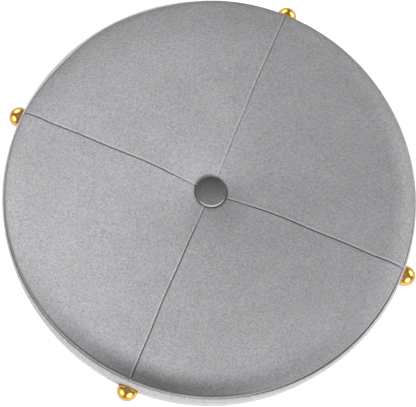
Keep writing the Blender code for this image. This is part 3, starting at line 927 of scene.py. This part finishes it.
def base_pleats(radius, angle, height):
    """The cover is folded under the base in overlapping pleats."""
    inward = np.clip((TUB_FOOT_R - 3 * MM - radius) / (10 * MM), 0, 1) * (height < TUB_FOOT_Z + 1 * MM)
    turn = np.mod(angle * 34 / math.tau + 0.15 * np.sin(angle * 7), 1.0)
    fold = np.where(turn < 0.82, turn / 0.82, (1 - turn) / 0.18)
    return -0.9 * MM * inward * fold


def make_tub_cover():
    outline = tub_outline(TUB_STEP)
    spokes = round_spokes()
    outward, upward = swelling("tub_trial", outline, spokes, TUB_SIM_STEP, tub_held, TUB_CAP)
    crease = rim_crease(outline[:, :1], spokes[None, :], outline[:, 1:])

    def shape(radius, angle, height):
        side = (radius > RIM_FLAT_R - 14 * MM) | (height < TAPER_TOP_Z)
        radius = radius + outward + np.where(side, tub_creases(radius, angle, height), 0.0)
        height = height + upward + base_pleats(radius, angle, height) + crease
        return leg_room(radius, angle, height), height

    cover = turned("tub_cover", outline, spokes, TUB_VELVET_PAINTED_LIGHTER, True, shape)
    around = np.broadcast_to(spokes, (len(outline), len(spokes)))
    out = outline[:, :1] - CREASE_R + edge_pull(around)
    on_rim = outline[:, 1:] > TUB_HIGH.z - SHOULDER
    # Painted shade in the crease under the lid's edge, and painted light and shade on the tub's side
    in_crease = on_rim * np.exp(-((out - 0.9 * MM) / (0.8 * MM)) ** 2)
    painted_crease_shade = CREASE_PAINTED_SHADE * in_crease * (1 - bump_at(around, *CREASE_OPEN_SIDE))
    side = sum(change * bump_at(around, center, width) for center, width, change in COVER_PAINTED_SIDES)
    paint(cover, COVER_PAINTED_LEVEL + side - painted_crease_shade)
    place(cover, "tub", "velvet", "drum_cover", *[f"drum_foam_{quarter + 1}" for quarter in QUARTERS])


def make_rim_segments():
    """Four plywood arcs with a ledge, butted at their ends."""
    low, high = RING_LOW.z, RING_HIGH.z
    ledge_top = RIM_Z - 31 * MM
    ledge_r = 163 * MM
    outer = RING_HIGH.x
    bore = BORE_R + VELVET + 0.3 * MM
    ease = 0.8 * MM
    outline = [(outer, high), (outer, low), (ledge_r + ease, low), (ledge_r, low + ease)]
    outline += [(ledge_r, ledge_top - ease), (ledge_r + ease, ledge_top), (bore, ledge_top)]
    outline += [(bore, high - 2 * MM), (bore + 2 * MM, high), (outer, high)]
    steps = 48
    for quarter in QUARTERS:
        start = math.pi / 2 * quarter - math.pi / 4 + HALF_GAP / ledge_r
        end = math.pi / 2 * (quarter + 1) - math.pi / 4 - HALF_GAP / ledge_r
        spokes = np.linspace(start, end, steps)
        name = f"rim_arc_{quarter + 1}"
        piece = turned(name, outline, spokes, FINISH["plywood"], False)
        close_ends(piece, len(outline) - 1, steps)
        piece.data.set_sharp_from_angle(angle=math.radians(35))
        place(piece, "tub", "plywood", f"rim_segment_{quarter + 1}")


def close_ends(piece, corners, steps):
    """Caps both ends of a turned arc whose outline comes back to its start."""
    points = [tuple(vertex.co) for vertex in piece.data.vertices]
    kept = corners * steps
    faces = [tuple(index % kept for index in face.vertices) for face in piece.data.polygons]
    points = points[:kept]
    faces.append(tuple(row * steps for row in range(corners)))
    faces.append(tuple(row * steps + steps - 1 for row in reversed(range(corners))))
    finish = piece.data.materials[0]
    piece.data.clear_geometry()
    piece.data.from_pydata(points, [], faces)
    if not piece.data.materials:
        piece.data.materials.append(finish)
    piece.data.shade_smooth()


# Linings, each a thin sheet

def make_liner_wall():
    """The lining hangs inside the tub, with a hem at its top and a lap where its ends meet."""
    low, high = LINING_LOW.z, LINING_HIGH.z
    heights = np.linspace(high, low, 90)
    top_r = LINING_HIGH.x - 1.0 * MM
    foot_r = float(tub_radius(low) - tub_radius(high)) + top_r
    share = np.clip((TAPER_TOP_Z - heights) / (TAPER_TOP_Z - low), 0, 1)
    radii = top_r - (top_r - foot_r) * share
    outline = np.stack([radii, heights], axis=1)

    def hung(radius, angle, height):
        down = np.clip((high - height) / (high - low), 0, 1)
        waves = np.sin(angle * 19 + 1.9 * np.sin(angle * 3)) * np.sin(math.pi * down) ** 0.7
        hem = np.where(high - height < 12 * MM, 0.5 * MM, 0.0)
        lap = 0.6 * MM * np.exp(-((np.mod(angle, math.tau) - 0.8) / 0.03) ** 2)
        return radius - 1.0 * MM * (1 + waves) * (down > 0) - hem - lap, height

    lining = turned("storage_lining", outline, even_spokes(300), FINISH["lining"], True, hung)
    flip_faces(lining)
    place(lining, "tub", "lining", "liner_wall")


def round_sheet(name, low, high, radius, finish, body, slot, node, facing):
    """A round cloth with a turned hem and slight pulls at its edge. facing is 1 for up and -1 for down."""
    middle = (low + high) / 2
    radii = list(np.linspace(1 * MM, radius - 9 * MM, 40))
    radii += list(np.linspace(radius - 8 * MM, radius, 9))
    outline = [(r, middle) for r in radii]

    def pulled(r, angle, height):
        edge = np.clip((r / radius - 0.72) / 0.28, 0, 1)
        waves = np.sin(angle * 36 + 1.2 * np.sin(angle * 5))
        hem = np.where(r > radius - 8 * MM, 0.15 * MM, 0.0)
        return r * (1 + 0.0015 * waves * edge), height + facing * (0.12 * MM * waves * edge ** 2 + hem)

    sheet = turned(name, outline, even_spokes(216), finish, True, pulled)
    if facing < 0:
        flip_faces(sheet)
    place(sheet, body, slot, node)


def make_round_linings():
    round_sheet("lid_lining", LID_LINER_LOW.z, LID_LINER_HIGH.z, LINER_R, FINISH["lining"],
                "lid", "lining", "lid_liner", -1)
    round_sheet("underside_cloth", DUST_LOW.z, DUST_HIGH.z, DUST_HIGH.x, FINISH["dust_cloth"],
                "tub", "dust_cloth", "dust_cover", -1)
    floor_r = FLOOR_HIGH.x - 3.5 * MM
    round_sheet("storage_floor_lining", FLOOR_HIGH.z - 0.4 * MM, FLOOR_HIGH.z, floor_r, FINISH["lining"],
                "tub", "lining", "liner_floor", 1)


# Metalwork

def make_ball(quarter):
    """A polished ball with a small collar where it meets its post."""
    outline = [(0.0, BALL_R)]
    neck = math.degrees(math.asin(POST_R / BALL_R))
    outline += arc((0.0, 0.0), (BALL_R, BALL_R), 88, neck - 88, 56)
    collar_z = -BALL_R * math.cos(math.radians(neck + 2))
    outline += arc((POST_R - 0.2 * MM, collar_z - 0.2 * MM), (0.9 * MM, 0.9 * MM), 60, -90, 8)
    outline.append((0.0, collar_z - 1.1 * MM))
    outline = [(radius, height + BALL_Z) for radius, height in outline]
    ball = turned(f"gold_ball_{quarter + 1}", outline, even_spokes(64), FINISH["gold"])
    move_to_leg(ball, BALL_AXIS, quarter)
    place(ball, "tub", "gold", f"ball_finial_{quarter + 1}")


def make_post(quarter):
    """A slim rod down the side, with a ferrule above its glide."""
    bottom = POST_LOW.z
    straight = np.linspace(POST_HIGH.z - 0.6 * MM, bottom, 72)
    radii = np.full(len(straight), POST_R)
    ferrule = np.clip(1 - np.abs(straight - 26 * MM) / (4 * MM), 0, 1) > 0
    radii = radii + np.where(ferrule, 0.7 * MM, 0.0)
    sides = even_spokes(40)
    axis = post_axis(straight)
    across = axis[:, None] + radii[:, None] * np.cos(sides)[None, :]
    along = radii[:, None] * np.sin(sides)[None, :]
    height = np.repeat(straight[:, None], len(sides), axis=1)
    points = np.stack([across, along, height], axis=-1).reshape(-1, 3)
    faces = tube_faces(len(straight), len(sides))
    post = link_mesh(f"gold_post_{quarter + 1}", points, faces, FINISH["gold"])
    post.data.set_sharp_from_angle(angle=math.radians(40))
    turn_to_leg(post, quarter)
    place(post, "tub", "gold", f"leg_post_{quarter + 1}")


def make_glide(quarter):
    """A ribbed rubber cup under the post."""
    radius = (GLIDE_HIGH.y - GLIDE_LOW.y) / 2
    top = GLIDE_HIGH.z
    center = float(post_axis(0.0))
    inner = POST_R + 0.3 * MM
    outline = [(inner, top - 0.6 * MM), (inner + 0.5 * MM, top), (radius - 1.4 * MM, top)]
    outline += arc((radius - 1.4 * MM, top - 1 * MM), (1.0 * MM, 1.0 * MM), 90, 0, 4)[1:]
    for rib in range(3):
        z = top - (2.6 + 2.4 * rib) * MM
        outline += arc((radius - 1.0 * MM, z), (1.0 * MM, 0.9 * MM), 80, -80, 6)
    outline += arc((radius - 1.2 * MM, 1.0 * MM), (1.0 * MM, 1.0 * MM), 0, -90, 4)
    outline.append((0.0, 0.0))
    glide = turned(f"rubber_glide_{quarter + 1}", outline, even_spokes(48), FINISH["rubber"])
    move_to_leg(glide, center, quarter)
    place(glide, "tub", "rubber", f"leg_glide_{quarter + 1}")


BOLT_SIDES = 48
BOLT_HEAD = 3.0 * MM         # height of the domed head
BOLT_SHANK_R = 2.5 * MM
SOCKET_HALF = 1.5 * MM       # from the socket's middle to its flats
SOCKET_DEPTH = 1.3 * MM


def make_bolt_head(number):
    """A low dome with a six-sided socket, on the lining side of the wall."""
    low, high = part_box(f"leg_bolt_{number}")
    quarter = (number - 1) // 2
    if quarter % 2 == 0:
        radius = (high.y - low.y) / 2
        ends = (abs(low.x), abs(high.x))
    else:
        radius = (high.x - low.x) / 2
        ends = (abs(low.y), abs(high.y))
    inner, outer = min(ends), max(ends)
    height = (low.z + high.z) / 2
    length = outer - inner
    sides = even_spokes(BOLT_SIDES)
    socket = SOCKET_HALF / np.cos(np.mod(sides, math.pi / 3) - math.pi / 6)
    rings = [(socket * 0.2, SOCKET_DEPTH), (socket, SOCKET_DEPTH)]
    rings += [(socket, 0.15 * MM), (socket * 1.15, 0.0)]
    rings += [(r, BOLT_HEAD - z) for r, z in arc((0.0, 0.0), (radius, BOLT_HEAD), 66, 12, 8)]
    rings += [(radius, BOLT_HEAD - 0.3 * MM), (radius, BOLT_HEAD)]
    rings += [(BOLT_SHANK_R, BOLT_HEAD), (BOLT_SHANK_R, length), (0.1 * MM, length)]
    points = []
    for r, depth in rings:
        depths = np.full(BOLT_SIDES, depth + inner)
        points.append(np.stack([depths, r * np.cos(sides), height + r * np.sin(sides)], axis=-1))
    points = np.concatenate(points)
    faces = tube_faces(len(rings), BOLT_SIDES)
    bolt = link_mesh(f"socket_bolt_{number}", points, faces, FINISH["steel"])
    bolt.data.set_sharp_from_angle(angle=math.radians(40))
    turn_to_leg(bolt, quarter)
    place(bolt, "tub", "steel", f"leg_bolt_{number}")


WIRE_R = 0.35 * MM
WIRE_SIDES = 6
STAPLE_HALF = 4.5 * MM
LID_STAPLES = 40
UNDERSIDE_STAPLES = 44


def make_staples(name, body, radius, height, count, side):
    """A ring of staples that hold a lining's hem. side is 1 where they face up, or else -1."""
    points, faces = [], []
    bend = STAPLE_HALF - WIRE_R
    left = [(-STAPLE_HALF, -WIRE_R), (-STAPLE_HALF, 0.0), (-bend, WIRE_R)]
    stations = left + [(-run, lift) for run, lift in reversed(left)]
    for index in range(count):
        angle = math.tau * (index + 0.5) / count
        skew = 0.12 * math.sin(index * 2.4)
        along = (-math.sin(angle + skew), math.cos(angle + skew))
        across = (math.cos(angle + skew), math.sin(angle + skew))
        start = len(points)
        center = (radius * math.cos(angle), radius * math.sin(angle))
        for run, lift in stations:
            for corner in range(WIRE_SIDES):
                turn = math.tau * corner / WIRE_SIDES
                sideways = WIRE_R * math.cos(turn)
                upward = WIRE_R * math.sin(turn)
                points.append((
                    center[0] + along[0] * run + across[0] * sideways,
                    center[1] + along[1] * run + across[1] * sideways,
                    height + side * (lift + upward)))
        for station in range(len(stations) - 1):
            for corner in range(WIRE_SIDES):
                a = start + station * WIRE_SIDES + corner
                b = start + station * WIRE_SIDES + (corner + 1) % WIRE_SIDES
                face = (a, b, b + WIRE_SIDES, a + WIRE_SIDES)
                faces.append(face if side > 0 else tuple(reversed(face)))
        last = start + (len(stations) - 1) * WIRE_SIDES
        caps = [tuple(range(start, start + WIRE_SIDES)), tuple(range(last, last + WIRE_SIDES))]
        for order, cap in enumerate(caps):
            faces.append(tuple(reversed(cap)) if (order == 0) == (side > 0) else cap)
    staples = link_mesh(name, points, faces, FINISH["steel"])
    place(staples, body, "steel")


# Stage

def make_floor():
    size = 40.0
    corners = [(-size, -size, 0.0), (size, -size, 0.0), (size, size, 0.0), (-size, size, 0.0)]
    floor = link_mesh("floor", corners, [(0, 1, 2, 3)], floor_paint(), False)


def add_softbox(name, azimuth, elevation, distance, width, height, watts):
    """A soft light that faces the lid. Azimuth is measured as the legs are, from +X."""
    light = bpy.data.lights.new(name, "AREA")
    light.shape = "RECTANGLE"
    light.size = width
    light.size_y = height
    light.energy = watts
    obj = bpy.data.objects.new(name, light)
    a, e = math.radians(azimuth), math.radians(elevation)
    reach = distance * math.cos(e)
    obj.location = (reach * math.cos(a), reach * math.sin(a), RIM_Z + distance * math.sin(e))
    obj.rotation_euler = (math.pi / 2 - e, 0.0, a + math.pi / 2)
    obj.visible_camera = False
    bpy.context.scene.collection.objects.link(obj)
    return obj


# How bright the surroundings that light the fabric are at each height, from 0 at the horizon to 1 overhead
WORLD_LEVELS = ((0.0, 0.80), (0.09, 0.60), (0.16, 0.08), (0.42, 0.08), (0.62, 0.43), (1.0, 0.54))
# What glossy rays meet instead: a dim room, and four bright panels over the spaces between the legs
ROOM_LEVELS = ((0.0, 0.24), (0.10, 0.18), (0.20, 0.15), (0.72, 0.15), (0.90, 0.30), (1.0, 0.34))
PANEL_LEVELS = ((0.0, 0.0), (0.06, 0.0), (0.18, 1.0), (0.55, 1.0), (0.74, 0.0), (1.0, 0.0))
PANEL_STRENGTH = 5.0
PANEL_EDGE = 3.0         # how sharply the panels end sideways


class WorldNodes(NodeTree):
    """The nodes of the studio's surroundings."""

    def __init__(self, world):
        super().__init__(world.node_tree)
        place = self.add("ShaderNodeTexCoord")
        parts = self.add("ShaderNodeSeparateXYZ")
        self.join(place.outputs["Generated"], parts.inputs["Vector"])
        self.x, self.y, self.z = parts.outputs

    def levels(self, stops):
        """Brightness by height."""
        curve = self.add("ShaderNodeValToRGB")
        ends = curve.color_ramp.elements
        for end, (position, level) in zip(ends, (stops[0], stops[-1])):
            end.position = position
            end.color = (level, level, level, 1.0)
        for position, level in stops[1:-1]:
            ends.new(position).color = (level, level, level, 1.0)
        self.join(self.z, curve.inputs["Fac"])
        return curve.outputs["Color"]


def make_world():
    world = bpy.data.worlds.new("studio")
    world.use_nodes = True
    n = WorldNodes(world)
    across = n.math("ADD", n.math("MULTIPLY", n.x, n.x), n.math("MULTIPLY", n.y, n.y))
    diagonal = n.math("DIVIDE", n.math("MULTIPLY", n.math("MULTIPLY", n.x, n.y), 2.0), across)
    sideways = n.math("POWER", n.math("ABSOLUTE", diagonal, 0.0), PANEL_EDGE)
    panels = n.math("MULTIPLY", n.math("MULTIPLY", sideways, n.levels(PANEL_LEVELS)), PANEL_STRENGTH)
    mirrored = n.math("ADD", panels, n.levels(ROOM_LEVELS))
    choice = n.add("ShaderNodeMix", data_type="FLOAT")
    n.join(n.add("ShaderNodeLightPath").outputs["Is Glossy Ray"], choice.inputs["Factor"])
    n.join(n.levels(WORLD_LEVELS), choice.inputs["A"])
    n.join(mirrored, choice.inputs["B"])
    n.join(choice.outputs["Result"], n.tree.nodes["Background"].inputs["Color"])
    bpy.context.scene.world = world


# Each light's azimuth and elevation in degrees, distance, width and height in metres, and watts
HIGH_LIGHT = (205, 64, 0.95, 0.5, 0.5, 5.5)
LOW_LIGHT = (LIGHT_SIDE, 29, 1.8, 0.35, 0.35, 22)


def light_stage():
    make_world()
    add_softbox("high_light", *HIGH_LIGHT).visible_glossy = False
    add_softbox("low_light", *LOW_LIGHT)
    bpy.context.scene.view_settings.view_transform = "Standard"


SENSOR_MM = 36.0
LENS_MM = 96.06
CAMERA_PLACE = (0.0569, -0.2671, 1.0529)     # its height is measured from the joint line
CAMERA_TURN = (13.65, -2.503, 22.427)        # degrees


def add_camera():
    """High above the front, leaning back a little and turned so that the seams lie aslant."""
    camera = bpy.data.cameras.new("camera")
    camera.sensor_width = SENSOR_MM
    camera.lens = LENS_MM
    obj = bpy.data.objects.new("camera", camera)
    x, y, above_rim = CAMERA_PLACE
    obj.location = (x, y, RIM_Z + above_rim)
    obj.rotation_euler = [math.radians(angle) for angle in CAMERA_TURN]
    bpy.context.scene.collection.objects.link(obj)
    bpy.context.scene.camera = obj


def build():
    dress_frame_nodes()
    add_camera()
    light_stage()
    make_floor()
    make_lid()
    make_button()
    make_tub_cover()
    make_rim_segments()
    make_liner_wall()
    make_round_linings()
    for quarter in QUARTERS:
        make_ball(quarter)
        make_post(quarter)
        make_glide(quarter)
    for number in range(1, 9):
        make_bolt_head(number)
    make_staples("lid_staples", "lid", LINER_R - 8.8 * MM, LID_LINER_LOW.z, LID_STAPLES, -1)
    make_staples("underside_staples", "tub", DUST_HIGH.x - 4 * MM, DUST_LOW.z, UNDERSIDE_STAPLES, -1)


build()
